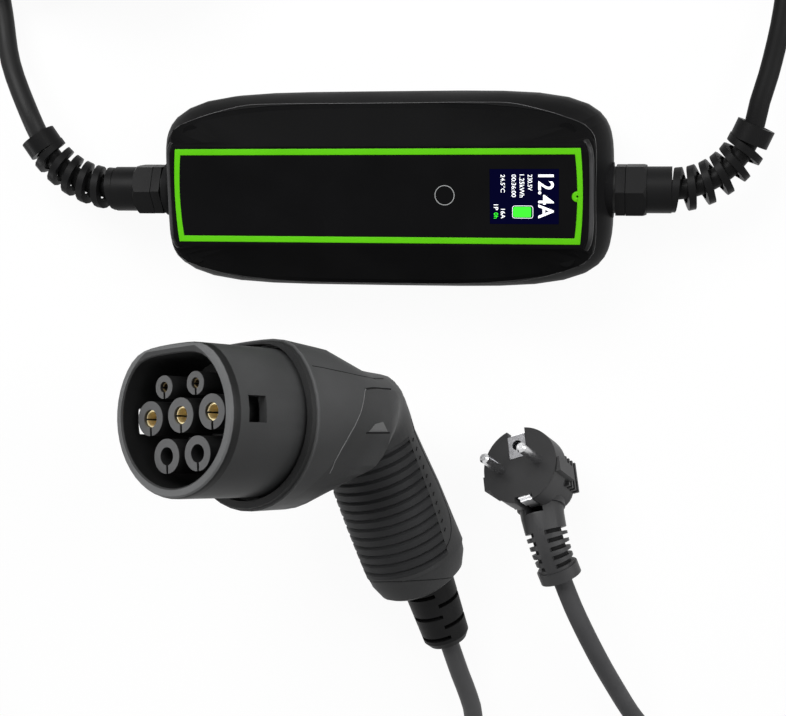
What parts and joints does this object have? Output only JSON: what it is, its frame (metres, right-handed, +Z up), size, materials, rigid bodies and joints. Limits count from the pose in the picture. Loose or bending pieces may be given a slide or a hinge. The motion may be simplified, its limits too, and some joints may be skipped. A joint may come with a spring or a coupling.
{
  "type": "portable electric vehicle charger",
  "caption": "Portable electric vehicle charger: flat black control box with a display, coiled charging cable with vehicle connector and a mains lead with an angled plug.",
  "frame": {"origin": "middle of the control box's base, on the surface it lies on", "axes": "+X along the control box towards the mains gland, +Z up out of its front, +Y away from the connector and plug"},
  "size_m": [0.5127, 0.5582, 0.1594],
  "materials": {
    "shell": "fine matt grain",
    "seal_rubber": "matt",
    "screw_steel": "zinc plated",
    "frame_green": "bright satin green",
    "panel_gloss": "polished black",
    "display": "dark screen, lit readout",
    "board": "solder mask",
    "relay": "moulded case",
    "module_black": "moulded case",
    "terminal": "moulded block",
    "gland": "moulded nylon",
    "connector_grey": "fine matt grain",
    "insert_grey": "matt",
    "contact_brass": "turned, silvered",
    "connector_dark": "fine matt grain",
    "grip_rubber": "soft touch ribs",
    "plug_black": "moulded",
    "pin_nickel": "nickel plated",
    "cable_black": "matt jacket",
    "tie_black": "woven strap"
  },
  "bodies": {
    "root": {"lower_shell": "shell", "upper_shell": "shell", "shell_gasket": "seal_rubber", "shell_screws": "screw_steel", "front_frame": "frame_green", "front_panel": "panel_gloss", "display_screen": "display", "main_board": "board", "board_screws": "screw_steel", "live_relay": "relay", "neutral_relay": "relay", "current_sensor": "module_black", "power_supply": "module_black", "mains_terminal": "terminal", "charge_terminal": "terminal", "charge_gland_body": "gland", "charge_gland_gasket": "seal_rubber", "charge_lock_nut": "gland", "charge_gland_seal": "seal_rubber", "charge_gland_nut": "gland", "mains_gland_body": "gland", "mains_gland_gasket": "seal_rubber", "mains_lock_nut": "gland", "mains_gland_seal": "seal_rubber", "mains_gland_nut": "gland", "nose_shroud": "connector_grey", "contact_insert": "insert_grey", "neutral_contact": "contact_brass", "earth_contact": "contact_brass", "live_contact": "contact_brass", "pilot_contact": "contact_brass", "proximity_contact": "contact_brass", "connector_body": "connector_dark", "grip_inlay": "grip_rubber", "handle_end_cap": "connector_dark", "bend_protector": "cable_black", "plug_body": "plug_black", "plug_live_pin": "pin_nickel", "plug_neutral_pin": "pin_nickel", "plug_earth_clips": "pin_nickel", "plug_earth_socket": "pin_nickel", "charge_cable_box_side": "cable_black", "charge_cable_coil": "cable_black", "coil_tie": "tie_black", "charge_cable_connector_side": "cable_black", "mains_cable": "cable_black"}
  },
  "joints": []
}
